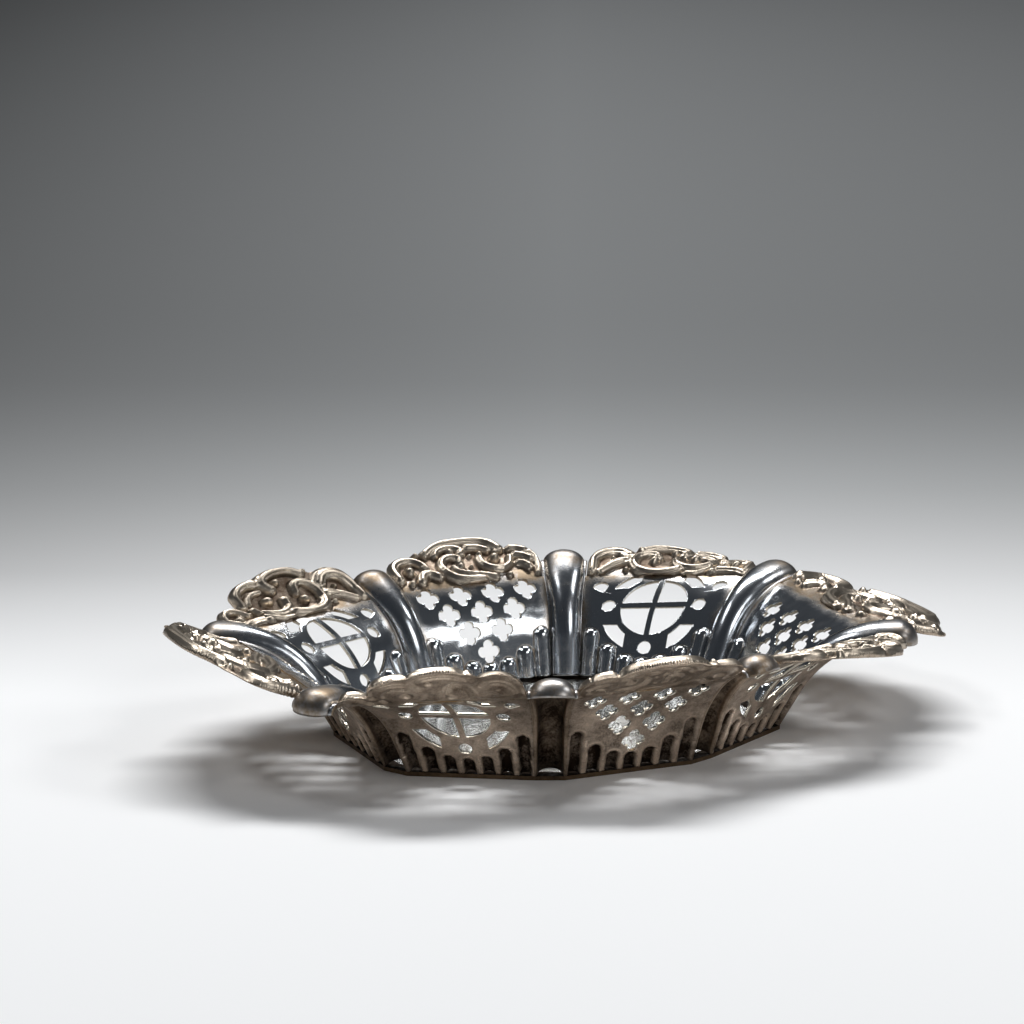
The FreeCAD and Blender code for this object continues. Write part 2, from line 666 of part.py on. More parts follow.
os.makedirs("parts", exist_ok=True)
for node in nodes:
    node.Label = node.Name
    node.Shape.exportStep("parts/%s.step" % node.Name)
    box = node.Shape.BoundBox
    print("%-28s solids %d volume %8.1f  z %.2f to %.2f" % (
        node.Name, len(node.Shape.Solids), node.Shape.Volume, box.ZMin, box.ZMax))
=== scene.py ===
import math
import bmesh
import bpy
from mathutils import Matrix, Vector
from mathutils.kdtree import KDTree


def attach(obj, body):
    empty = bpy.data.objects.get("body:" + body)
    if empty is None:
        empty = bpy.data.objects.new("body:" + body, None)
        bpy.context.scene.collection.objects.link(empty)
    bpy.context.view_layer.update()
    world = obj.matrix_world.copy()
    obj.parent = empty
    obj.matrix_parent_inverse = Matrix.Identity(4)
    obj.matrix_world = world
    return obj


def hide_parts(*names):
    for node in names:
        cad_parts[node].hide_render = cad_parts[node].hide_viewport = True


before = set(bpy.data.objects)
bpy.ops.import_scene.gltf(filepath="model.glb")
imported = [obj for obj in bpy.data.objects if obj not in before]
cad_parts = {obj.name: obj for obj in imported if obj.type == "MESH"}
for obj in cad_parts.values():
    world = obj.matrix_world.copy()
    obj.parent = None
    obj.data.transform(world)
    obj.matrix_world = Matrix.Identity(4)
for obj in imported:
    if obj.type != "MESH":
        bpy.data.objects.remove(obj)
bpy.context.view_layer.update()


# Base plate
# The flat bottom of the dish, rolled sterling silver, worn to a soft satin where sweets and
# fingers rub it. It is nearly black and matt along the foot of the walls, which stand on its top.
MM = 0.001

# Sizes are in millimetres and angles in degrees. The middle of each lobe's foot, in the back
# right quarter that the other three mirror, and the way that the lobe runs out from it
FOOT = {"end": (40.0, 15.2), "side": (15.6, 31.0)}
DIRECTION = {"end": 28.0, "side": 67.5}

# How far in from the foot of a lobe and of a panel the dark band reaches
LOBE_DARK_BAND, PANEL_DARK_BAND = 3.0, 1.9

# How far clouds and grain move the edge of the tarnish, and how long the waves are in sheet
# that was bent by hand
CLOUD_SHIFT, GRAIN_SHIFT, WAVE_LENGTH = 0.3, 0.12, 8.0


def srgb(code, alpha=1.0):
    """A hex colour as the linear values that a shader takes."""
    channels = [int(code[i:i + 2], 16) / 255 for i in (0, 2, 4)]
    return [c / 12.92 if c <= 0.04045 else ((c + 0.055) / 1.055) ** 2.4 for c in channels] + [alpha]


def add(tree, kind, settings=None, **links):
    """One node: its settings by name, and its inputs by name with spaces as underscores."""
    made = tree.nodes.new("ShaderNode" + kind)
    for name, setting in (settings or {}).items():
        setattr(made, name, setting)
    for name, given in links.items():
        place = int(name[1:]) if name[0] == "i" and name[1:].isdigit() else name.replace("_", " ")
        if isinstance(given, bpy.types.NodeSocket):
            tree.links.new(given, made.inputs[place])
        else:
            made.inputs[place].default_value = given
    return made


def silver(name, bright, tarnish, gloss, dull, grain_mm, grain_depth_mm, cloud_mm, base_tarnish=0.0,
           depth="tarnish", wave_mm=0.3):
    """Old silver: bright where it is rubbed, and browner and duller where tarnish gathers.

    An attribute says how deep in the work a point lies: "tarnish" as seen from inside the dish,
    and one for grime as seen from outside, which on the panels also holds painted shade in the
    flutes' backs and a painted highlight round their edges. A function that adds nodes for it may
    stand in its place.
    Clouds a few millimetres wide break it up, and a fine grain stands for the hammer and graver
    marks. Shallow waves stand for sheet bent by hand.
    """
    material = bpy.data.materials.new(name)
    material.use_nodes = True
    tree = material.node_tree
    shader = tree.nodes["Principled BSDF"]
    shader.inputs["Metallic"].default_value = 1.0
    place = add(tree, "TexCoord").outputs["Object"]
    clouds = add(tree, "TexNoise", Vector=place, Scale=1 / (cloud_mm * MM), Detail=4.0,
                 Roughness=0.6)
    grain = add(tree, "TexNoise", Vector=place, Scale=1 / (grain_mm * MM), Detail=3.0,
                Roughness=0.55)
    if callable(depth):
        deep = depth(tree)
    else:
        deep = add(tree, "Attribute", {"attribute_name": depth}).outputs["Fac"]
    cloudy = add(tree, "MapRange", Value=clouds.outputs["Fac"], From_Min=0.3, From_Max=0.7,
                 To_Min=-CLOUD_SHIFT, To_Max=CLOUD_SHIFT)
    grainy = add(tree, "MapRange", Value=grain.outputs["Fac"], From_Min=0.3, From_Max=0.7,
                 To_Min=-GRAIN_SHIFT, To_Max=GRAIN_SHIFT)
    speckle = add(tree, "Math", {"operation": "ADD"}, i0=cloudy.outputs["Result"],
                  i1=grainy.outputs["Result"])
    total = add(tree, "Math", {"operation": "ADD"}, i0=deep, i1=speckle.outputs["Value"])
    brown = add(tree, "MapRange", Value=total.outputs["Value"], From_Min=0.1 - base_tarnish,
                From_Max=1.0 - base_tarnish, To_Min=0.0, To_Max=1.0)
    colour = add(tree, "ValToRGB", Fac=brown.outputs["Result"])
    colour.color_ramp.elements[0].color = srgb(bright)
    colour.color_ramp.elements[1].color = srgb(tarnish)
    tree.links.new(colour.outputs["Color"], shader.inputs["Base Color"])
    rough = add(tree, "MapRange", Value=brown.outputs["Result"], From_Min=0.0, From_Max=1.0,
                To_Min=gloss, To_Max=dull)
    tree.links.new(rough.outputs["Result"], shader.inputs["Roughness"])
    waves = add(tree, "TexNoise", Vector=place, Scale=1 / (WAVE_LENGTH * MM), Detail=2.0,
                Roughness=0.45)
    sag = add(tree, "Bump", Strength=1.0, Distance=wave_mm * MM, Height=waves.outputs["Fac"])
    bump = add(tree, "Bump", Strength=1.0, Distance=grain_depth_mm * MM,
               Height=grain.outputs["Fac"], Normal=sag.outputs["Normal"])
    tree.links.new(bump.outputs["Normal"], shader.inputs["Normal"])
    return material


def dark_band_at_walls(tree):
    """1 on the plate near the foot of a lobe or a panel, and 0 on the rest of it.

    The plate is an octagon with a lobe on each corner. Each lobe, and each side between two, has a
    line across the plate at a right angle to its turn, and the dark band lies past any of them.
    """
    place = add(tree, "SeparateXYZ", Vector=add(tree, "TexCoord").outputs["Object"])
    across, deep = [add(tree, "Math", {"operation": "ABSOLUTE"}, i0=place.outputs[axis])
                    for axis in ("X", "Y")]
    (end_x, end_y), (side_x, side_y) = FOOT["end"], FOOT["side"]
    slant = math.degrees(math.atan2(end_x - side_x, side_y - end_y))
    darkened = None
    for turn, kind, band in ((DIRECTION["end"], "end", LOBE_DARK_BAND),
                             (DIRECTION["side"], "side", LOBE_DARK_BAND),
                             (0, "end", PANEL_DARK_BAND), (slant, "side", PANEL_DARK_BAND),
                             (90, "side", PANEL_DARK_BAND)):
        cosine, sine = math.cos(math.radians(turn)), math.sin(math.radians(turn))
        limit = FOOT[kind][0] * cosine + FOOT[kind][1] * sine - band
        sideways = add(tree, "Math", {"operation": "MULTIPLY"}, i0=deep.outputs["Value"], i1=sine)
        reach = add(tree, "Math", {"operation": "MULTIPLY_ADD"}, i0=across.outputs["Value"],
                    i1=cosine, i2=sideways.outputs["Value"])
        past = add(tree, "Math", {"operation": "GREATER_THAN"}, i0=reach.outputs["Value"],
                   i1=limit * MM)
        if darkened:
            past = add(tree, "Math", {"operation": "MAXIMUM"}, i0=darkened, i1=past.outputs["Value"])
        darkened = past.outputs["Value"]
    return darkened


# Rolled silver, worn by use: a pale grey mirror, softly blurred, that turns black-brown and matt
# along the foot of the walls
plate_silver = silver("worn_rolled_silver", bright="DEDCD6", tarnish="2A2018", gloss=0.2, dull=0.95,
                      grain_mm=0.5, grain_depth_mm=0.004, cloud_mm=9.0, depth=dark_band_at_walls,
                      wave_mm=0.06)
# The same silver below and at its edge, never polished: brown, and blotched nearly black
plate_under = silver("grimy_silver_underside", bright="7A6650", tarnish="2C2118", gloss=0.35,
                     dull=0.6, grain_mm=0.5, grain_depth_mm=0.004, cloud_mm=7.0, base_tarnish=0.4)
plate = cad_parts["base_plate"]
plate.data.materials.clear()
plate.data.materials.append(plate_silver)
plate.data.materials.append(plate_under)
for face in plate.data.polygons:
    face.material_index = 0 if face.normal.z > 0.9 else 1


# Pierced wall panels
# Eight panels of thin sheet silver, alternately pierced with rows of quatrefoils and with a
# wheel. Each is sawn out flat, its flutes are punched up from behind, and it is bent to a trumpet.
SHEET = 0.7
PLATE_TOP = 0.8

# A wall keeps the slope of its foot up to the fold, and then sweeps over to the slope of its rim
# on an arc. Its border covers the last share of the sweep.
FOOT_SLOPE = {"end": 60.0, "side": 72.0}
RIM_SLOPE = {"end": 0.0, "side": 26.0}
FOLD, SWEEP, BORDER_SHARE = 7.0, 21.0, 0.22

# How wide a gap each lobe fills between two panels
LOBE_FOOT, LOBE_RIM = 5.6, 9.4

# Heights up a wall are 0 at its foot, 1 at the fold and 2 at the rim
PANEL_TOP = 2 - BORDER_SHARE


def run_and_rise(kind, up):
    """How far out and how high the outer face stands at a height up the wall."""
    start, end = math.radians(FOOT_SLOPE[kind]), math.radians(RIM_SLOPE[kind])
    if up <= 1:
        return up * FOLD / math.tan(start), up * FOLD
    slope = start + (end - start) * (up - 1)
    return (FOLD / math.tan(start) + SWEEP * (math.sin(start) - math.sin(slope)),
            FOLD + SWEEP * (math.cos(slope) - math.cos(start)))


class Seam:
    """Where a lobe meets the sheet beside it: its kind, its side of the lobe and its quarter."""

    def __init__(self, kind, side, flip_x, flip_y):
        self.kind = kind
        turn = math.radians(DIRECTION[kind])
        x, y = FOOT[kind]
        x -= side * math.sin(turn) * LOBE_FOOT / 2
        y += side * math.cos(turn) * LOBE_FOOT / 2
        self.foot = Vector((x * flip_x, y * flip_y, PLATE_TOP))
        turn += side * math.asin((LOBE_RIM - LOBE_FOOT) / 2 / run_and_rise(kind, 2)[0])
        self.outward = Vector((math.cos(turn) * flip_x, math.sin(turn) * flip_y, 0))

    def point(self, up):
        run, rise = run_and_rise(self.kind, up)
        return self.foot + self.outward * run + Vector((0, 0, rise))


class Wall:
    """The curved sheet between two seams, left and right as seen from inside the dish."""

    def __init__(self, left, right):
        self.left, self.right = left, right
        self.skirt = (self.at(0.5, 1) - self.at(0.5, 0)).length
        self.turn = sum(math.radians(FOOT_SLOPE[s.kind] - RIM_SLOPE[s.kind])
                        for s in (left, right)) / 2

    def at(self, share, up):
        """The point a share of the way from left to right, at a height up the wall."""
        return self.left.point(up) * (1 - share) + self.right.point(up) * share

    def up(self, distance):
        """The height up the wall that lies a distance along the sheet from its foot."""
        if distance <= self.skirt:
            return distance / self.skirt
        return 1 + (distance - self.skirt) / (SWEEP * self.turn)

    def distance(self, up):
        return self.skirt * up if up <= 1 else self.skirt + (up - 1) * SWEEP * self.turn

    def width(self, up):
        return (self.right.point(up) - self.left.point(up)).length

    def place(self, across, distance, inside):
        """A point so far across from the middle, up from the foot, and in from the outer face."""
        up = self.up(distance)
        share = 0.5 + across / self.width(up)
        here = self.at(share, up)
        step = 1 / 64
        along = self.right.point(up) - self.left.point(up)
        rise = self.at(share, up + step) - here
        return here + along.cross(rise).normalized() * inside


def flat_sheet(name, edge, holes, pitch, top=None):
    """A flat sheet with holes, cut into squares small enough to bend well, and off at its top."""
    curve = bpy.data.curves.new(name, "CURVE")
    curve.dimensions = "2D"
    curve.fill_mode = "BOTH"
    for loop in [edge] + holes:
        spline = curve.splines.new("POLY")
        spline.points.add(len(loop) - 1)
        for point, (x, y) in zip(spline.points, loop):
            point.co = (x, y, 0, 1)
        spline.use_cyclic_u = True
    flat = bpy.data.objects.new(name, curve)
    mesh = bpy.data.meshes.new_from_object(flat)
    bpy.data.objects.remove(flat)
    bm = bmesh.new()
    bm.from_mesh(mesh)
    bmesh.ops.remove_doubles(bm, verts=bm.verts, dist=0.001)
    if top:
        bmesh.ops.bisect_plane(bm, geom=bm.verts[:] + bm.edges[:] + bm.faces[:], dist=0.0005,
                               plane_co=(0, top, 0), plane_no=(0, 1, 0), clear_outer=True)
    for axis in (0, 1):
        places = [v.co[axis] for v in bm.verts]
        low, high = min(places), max(places)
        count = math.ceil((high - low) / pitch)
        for i in range(1, count):
            cut, normal = Vector((0, 0, 0)), Vector((0, 0, 0))
            cut[axis] = low + (high - low) * i / count
            normal[axis] = 1
            bmesh.ops.bisect_plane(bm, geom=bm.verts[:] + bm.edges[:] + bm.faces[:], dist=0.0005,
                                   plane_co=cut, plane_no=normal)
    return bm


def finish_sheet(name, bm, node, materials, thickness=None):
    """The bent sheet as an object in metres, in place of its node, and given any thickness."""
    bmesh.ops.scale(bm, vec=(MM, MM, MM), verts=bm.verts)
    mesh = bpy.data.meshes.new(name)
    bm.to_mesh(mesh)
    bm.free()
    mesh.shade_smooth()
    piece = bpy.data.objects.new(name, mesh)
    bpy.context.scene.collection.objects.link(piece)
    for material in materials:
        mesh.materials.append(material)
    if thickness:
        thick = piece.modifiers.new("thickness", "SOLIDIFY")
        thick.thickness = thickness * MM
        thick.offset = 0
        thick.material_offset = 1
        thick.material_offset_rim = 2
        thick.use_quality_normals = True
    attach(piece, "root")
    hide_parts(node)
    return piece


# A quatrefoil's four arcs, and how the rows of four, three, two and one are spaced
FOIL_REACH, FOIL_RADIUS, FOIL_STEP = 1.25, 1.1, 26
FOIL_PITCH, FOIL_ROW, FOIL_LOWEST = 7.0, 4.0, 6.2

# The wheel is a cross in a ring with four slots round it, held by tabs. Three round holes lie
# outside it, and two commas near the panel's top corners, whose tails point down and inwards.
WHEEL_HEIGHT, WHEEL_OPENING, WHEEL_SLOTS = 15.0, 6.4, 10.0
WHEEL_BAR, WHEEL_TAB, WHEEL_RING = 1.1, 8.6, 1.2
HOLE_REACH, HOLE_RADIUS = 9.0, 1.3
COMMA_ACROSS, COMMA_UP, COMMA_RADIUS = 12.0, 4.6, 1.5
COMMA_TAIL = ((2.9, 1.5), (1.0, 1.35))

# Seven flutes stand in from each wall, side by side, the outermost tallest. A flute's half-width
# is a share of its lane.
FLUTES = 7
FLUTE_DEPTH, FLUTE_SHARE = 1.3, 0.385
FLUTE_MIDDLE, FLUTE_OUTER, FLUTE_SLOPE = 3.4, 8.8, 66

# How wide the tarnish is at a panel's sides and top, and how finely its sheet is divided
SIDE_TARNISH, TOP_TARNISH = 2.2, 3.0
PANEL_PITCH = 0.32


def quatrefoil(x, y):
    """Four round lobes about a middle, drawn as arcs between the waists."""
    loop = []
    for quarter in range(4):
        lobe = math.radians(90 * quarter)
        middle = Vector((math.cos(lobe), math.sin(lobe))) * FOIL_REACH
        for step in range(-4, 5):
            angle = lobe + math.radians(FOIL_STEP * step)
            loop.append((x + middle.x + FOIL_RADIUS * math.cos(angle),
                         y + middle.y + FOIL_RADIUS * math.sin(angle)))
    return loop


def arc(x, y, radius, start, end, steps):
    """Points from one angle to another on a circle."""
    return [(x + radius * math.cos(math.radians(start + (end - start) * i / steps)),
             y + radius * math.sin(math.radians(start + (end - start) * i / steps)))
            for i in range(steps + 1)]


def wheel_holes(height):
    """The wheel's quadrants and slots, with its holes and commas, about a height on the sheet."""
    holes = []
    for quarter in range(4):
        turn = 90 * quarter
        slack = math.degrees(math.asin(WHEEL_BAR / 2 / WHEEL_OPENING))
        corner = Vector((WHEEL_BAR / 2, WHEEL_BAR / 2))
        corner.rotate(Matrix.Rotation(math.radians(turn), 2))
        quadrant = arc(0, 0, WHEEL_OPENING, turn + slack, turn + 90 - slack, 12)
        holes.append([(x, y + height) for x, y in quadrant + [(corner.x, corner.y)]])
        inner = WHEEL_OPENING + WHEEL_RING
        near = math.degrees(math.asin(WHEEL_TAB / 2 / inner))
        far = math.degrees(math.asin(WHEEL_TAB / 2 / WHEEL_SLOTS))
        slot = (arc(0, 0, WHEEL_SLOTS, turn + far, turn + 90 - far, 10)
                + arc(0, 0, inner, turn + 90 - near, turn + near, 6))
        holes.append([(x, y + height) for x, y in slot])
    for x, y in ((-HOLE_REACH, 0), (0, -HOLE_REACH), (HOLE_REACH, 0)):
        holes.append(arc(x, y + height, HOLE_RADIUS, 0, 337.5, 15))
    for side in (-1, 1):
        middle = side * COMMA_ACROSS
        head = arc(middle, height + COMMA_UP, COMMA_RADIUS, 0, 250, 12)
        comma = [(middle + (x - middle) * side, y) for x, y in head]
        comma += [(side * (COMMA_ACROSS - aside), height + COMMA_UP - down)
                  for aside, down in COMMA_TAIL]
        holes.append(comma if side == 1 else comma[::-1])
    return holes


def flute_rise(wall, across, distance):
    """How far a flute stands in at a point, and how far the point is on its edge and in its back.

    The reach is 0 on a flute's middle line and 1 at its edge.
    """
    share = 0.5 + across / wall.width(wall.up(distance))
    lane = share * FLUTES
    index = min(FLUTES - 1, max(0, int(lane)))
    from_middle = (index - (FLUTES - 1) / 2) / ((FLUTES - 1) / 2)
    height = FLUTE_MIDDLE + (FLUTE_OUTER - FLUTE_MIDDLE) * from_middle ** 2
    top = height / math.sin(math.radians(FLUTE_SLOPE))
    lane_width = wall.width(wall.up(distance)) / FLUTES
    half = FLUTE_SHARE * lane_width
    aside = abs(lane - index - 0.5) * lane_width
    over = max(0.0, distance - (top - half))
    reach = math.hypot(aside, over) / half
    rise = FLUTE_DEPTH * max(0.0, 1 - reach ** 2.6) ** 0.6
    edge = max(0.0, 1 - abs(reach - 1.2) / 0.3)
    back = min(1.0, max(0.0, (1.06 - reach) / 0.12))
    return rise, edge, back


# The inside, rubbed with polish and bent by hand: a cool slate mirror that breaks what it shows
# into soft patches, with pale brown tarnish at the flutes' edges and along the seams
panel_inside = silver("sawn_sheet_silver_inside", bright="DCE0E4", tarnish="8C7C68", gloss=0.13,
                      dull=0.4, grain_mm=0.35, grain_depth_mm=0.006, cloud_mm=4.0, wave_mm=0.45)
# The outside, seldom polished: a warm grey-brown satin, with painted shade nearly black in the
# flutes' backs and a painted pale highlight round their edges
panel_outside = silver("sawn_sheet_silver_outside", bright="E2CEBA", tarnish="32271F", gloss=0.26,
                       dull=0.6, grain_mm=0.35, grain_depth_mm=0.01, cloud_mm=4.0, depth="grime_and_painted_light")
# The cut edges of the piercing, left by the saw: a pale line round every hole
panel_edge = silver("sawn_edge_silver", bright="CFC8BA", tarnish="80694C", gloss=0.25, dull=0.45,
                    grain_mm=0.3, grain_depth_mm=0.004, cloud_mm=2.0)


def panel(node, wall, wheel):
    """A panel cut out flat, with its flutes raised, bent to its wall."""
    top = wall.distance(PANEL_TOP)
    # The edge runs on past the top, where the sheet is then cut off straight
    rows = [top * i / 20 for i in range(25)]
    edge = [(wall.width(wall.up(d)) / 2, d) for d in rows]
    edge += [(-x, d) for x, d in reversed(edge)]
    if wheel:
        holes = wheel_holes(WHEEL_HEIGHT)
    else:
        holes = [quatrefoil((column - row / 2) * FOIL_PITCH, FOIL_LOWEST + row * FOIL_ROW)
                 for row in range(4) for column in range(row + 1)]
    bm = flat_sheet(node + "_sheet", edge, holes, PANEL_PITCH, top)
    tarnish = bm.verts.layers.float.new("tarnish")
    grime_and_painted_light = bm.verts.layers.float.new("grime_and_painted_light")
    for vert in bm.verts:
        across, distance = vert.co.x, vert.co.y
        rise, rim, back = flute_rise(wall, across, distance)
        half = wall.width(wall.up(distance)) / 2
        beside = max(0.0, 1 - (half - abs(across)) / SIDE_TARNISH)
        above = max(0.0, 1 - (top - distance) / TOP_TARNISH)
        vert[tarnish] = min(1.0, max(0.95 * rim, 0.9 * beside, 0.9 * above))
        # Outside: painted shade, nearly black, in the flutes' backs, and a painted pale highlight
        # round their edges; grime near the sides and the top
        vert[grime_and_painted_light] = max(0.95 * back, 0.6 * beside, 0.6 * above, 0.52 - 0.5 * rim)
        vert.co = wall.place(across, distance, SHEET / 2 + rise)
    return finish_sheet(node + "_dressed", bm, node,
                        [panel_inside, panel_outside, panel_edge], SHEET)


panel("quatrefoil_panel_right", Wall(Seam("end", -1, 1, 1), Seam("end", -1, 1, -1)), False)
panel("quatrefoil_panel_left", Wall(Seam("end", -1, -1, -1), Seam("end", -1, -1, 1)), False)
panel("quatrefoil_panel_back", Wall(Seam("side", 1, -1, 1), Seam("side", 1, 1, 1)), False)
panel("quatrefoil_panel_front", Wall(Seam("side", 1, 1, -1), Seam("side", 1, -1, -1)), False)
panel("wheel_panel_back_right", Wall(Seam("side", -1, 1, 1), Seam("end", 1, 1, 1)), True)
panel("wheel_panel_front_right", Wall(Seam("end", 1, 1, -1), Seam("side", -1, 1, -1)), True)
panel("wheel_panel_back_left", Wall(Seam("end", 1, -1, 1), Seam("side", -1, -1, 1)), True)
panel("wheel_panel_front_left", Wall(Seam("side", -1, -1, -1), Seam("end", 1, -1, -1)), True)


# Lobes
# Eight hollow ribs between the panels, half-round and burnished, each between two matted strips.
# They are drawn up in the sheet from behind and spun over the rim in a rounded hood.
LOBE_SHEET = 0.6

# From a share of the sweep on, the half-round pipe flares into a broader and flatter hood, which
# curls down over the rim through a turn. The hood is as long as its curl is part way up it.
PIPE, HOOD_HALF, HOOD_HEIGHT = 2.7, 3.85, 2.4
HOOD_CURL, HOOD_TURN, HOOD_MIDDLE, FLARE_START = 0.9, 96.0, 0.6, 0.3

# The share of the grid's columns that makes the pipe, how little of the strips is left beside the
# hood, and how high the strips' middle line stands
PIPE_SHARE, STRIP_LEAST, STRIP_RIDGE = 0.72, 0.05, 0.28

# The inside, burnished with a steel: the brightest and smoothest silver of the dish, so that each
# rib holds one long straight highlight, and browner in its corners and on its hood
lobe_inside = silver("burnished_silver_rib", bright="BFC4CA", tarnish="7F705E", gloss=0.2,
                     dull=0.45, grain_mm=0.6, grain_depth_mm=0.004, cloud_mm=5.0)
# Its hollow back, never cleaned: dark brown, and dull
lobe_outside = silver("tarnished_silver_rib_back", bright="BCA893", tarnish="34281F", gloss=0.3,
                      dull=0.5, grain_mm=0.5, grain_depth_mm=0.006, cloud_mm=4.0, depth="grime_and_painted_light")


def lobe_lengths(kind):
    """How long a lobe is along its skirt, its sweep and its hood."""
    return (FOLD / math.sin(math.radians(FOOT_SLOPE[kind])),
            SWEEP * math.radians(FOOT_SLOPE[kind] - RIM_SLOPE[kind]),
            (HOOD_CURL + HOOD_HEIGHT * HOOD_MIDDLE) * math.radians(HOOD_TURN))


def lobe_line(kind, along):
    """How far out and how high a lobe's outer face stands, and its slope, so far along it."""
    skirt, sweep, hood = lobe_lengths(kind)
    if along <= skirt + sweep:
        up = along / skirt if along < skirt else 1 + (along - skirt) / sweep
        slope = FOOT_SLOPE[kind] + (RIM_SLOPE[kind] - FOOT_SLOPE[kind]) * max(0.0, up - 1)
        return *run_and_rise(kind, up), slope
    slope = RIM_SLOPE[kind] - HOOD_TURN * (along - skirt - sweep) / hood
    tilt, rim = math.radians(slope), math.radians(RIM_SLOPE[kind])
    run, rise = run_and_rise(kind, 2)
    return (run + HOOD_CURL * (math.sin(rim) - math.sin(tilt)),
            rise - HOOD_CURL * (math.cos(rim) - math.cos(tilt)), slope)


def lobe_section(side, flare, half):
    """A lobe's section: how far aside and in a point lies, and its tarnish and its grime.

    The side goes from -1 to 1, over a strip, the pipe and the other strip. Tarnish gathers in the
    corners at the pipe's foot and on the hood, and the strips are rubbed along their middle line.
    """
    wide = min(PIPE + (HOOD_HALF - PIPE) * flare, half - STRIP_LEAST)
    tall = PIPE + (HOOD_HEIGHT - PIPE) * flare
    if abs(side) <= PIPE_SHARE:
        angle = math.pi / 2 * (1 - side / PIPE_SHARE)
        stand = tall * math.sin(angle)
        corner = max(0.0, 1 - stand / (0.5 * tall))
        return (wide * math.cos(angle), stand, max(corner ** 2, 0.75 * flare ** 3),
                max(0.3, 0.8 * min(1.0, stand / (0.4 * tall))))
    part = (abs(side) - PIPE_SHARE) / (1 - PIPE_SHARE)
    ridge = STRIP_RIDGE * math.exp(-((part - 0.5) / 0.2) ** 2)
    rubbed = math.exp(-((part - 0.5) / 0.15) ** 2)
    return math.copysign(wide + (half - wide) * part, side), ridge, 0.85 - 0.4 * rubbed, 0.3


def lobe(node, kind, flip_x, flip_y):
    """A lobe in one quarter of the dish: a grid bent to its section all along its line."""
    turn = math.radians(DIRECTION[kind])
    foot = Vector((FOOT[kind][0] * flip_x, FOOT[kind][1] * flip_y, PLATE_TOP))
    outward = Vector((math.cos(turn) * flip_x, math.sin(turn) * flip_y, 0))
    across = Vector((0, 0, 1)).cross(outward)
    skirt, sweep, hood = lobe_lengths(kind)
    rim_run = run_and_rise(kind, 2)[0]
    bm = bmesh.new()
    bmesh.ops.create_grid(bm, x_segments=60, y_segments=90, size=1.0)
    tarnish = bm.verts.layers.float.new("tarnish")
    grime_and_painted_light = bm.verts.layers.float.new("grime_and_painted_light")
    for vert in bm.verts:
        along = (vert.co.y + 1) / 2 * (skirt + sweep + hood)
        run, rise, slope = lobe_line(kind, along)
        half = LOBE_FOOT / 2 + (LOBE_RIM - LOBE_FOOT) / 2 * min(run, rim_run) / rim_run
        flare = (along - (skirt + sweep * FLARE_START)) / (sweep * (1 - FLARE_START))
        flare = min(1.0, max(0.0, flare))
        flare = flare * flare * (3 - 2 * flare)
        aside, stand, vert[tarnish], vert[grime_and_painted_light] = lobe_section(vert.co.x, flare, half)
        tilt = math.radians(slope)
        inward = Vector((0, 0, 1)) * math.cos(tilt) - outward * math.sin(tilt)
        vert.co = (foot + outward * run + Vector((0, 0, rise)) + across * aside
                   + inward * (stand + LOBE_SHEET / 2))
    # The sheet's front is the inside of the dish, so a face low on the wall looks inwards
    bmesh.ops.recalc_face_normals(bm, faces=bm.faces)
    low = foot + Vector((0, 0, 9))
    middle = min(bm.faces, key=lambda face: (face.calc_center_median() - low).length)
    if middle.normal.dot(outward) > 0:
        bmesh.ops.reverse_faces(bm, faces=bm.faces)
    return finish_sheet(node + "_dressed", bm, node,
                        [lobe_inside, lobe_outside, panel_edge], LOBE_SHEET)


for kind, places in (("end", ("right_back", "right_front", "left_back", "left_front")),
                     ("side", ("back_right", "front_right", "back_left", "front_left"))):
    for name in places:
        lobe("lobe_" + name, kind, 1 if "right" in name else -1, 1 if "back" in name else -1)


# Scroll borders
# Eight stampings in high relief soldered along the rim: arches of rolled scrolls with beads for
# eyes, warm grey on the heights and brown with old polish in the ground between them.
REACH = {"end": 18.6, "side": 9.4, "diagonal": 10.0}
BORDER_SHEET, BACK_SWELL = 0.1, 0.12

# A stamping's plain ground stands so high above the sheet, rounds down to it over the width of a
# lip, and stays plain and bright over its lowest share. Rolls spread past their half-width into
# one another, and a groove runs along both sides of each.
GROUND, LIP, PLAIN_SHARE = 0.35, 0.8, 0.22
ROLL_SPREAD, GROOVE_DEPTH = 1.35, 0.2

# How finely it is divided, and how nearly it fills the width between two lobes
BORDER_PITCH, BORDER_FIT = 0.21, 0.99

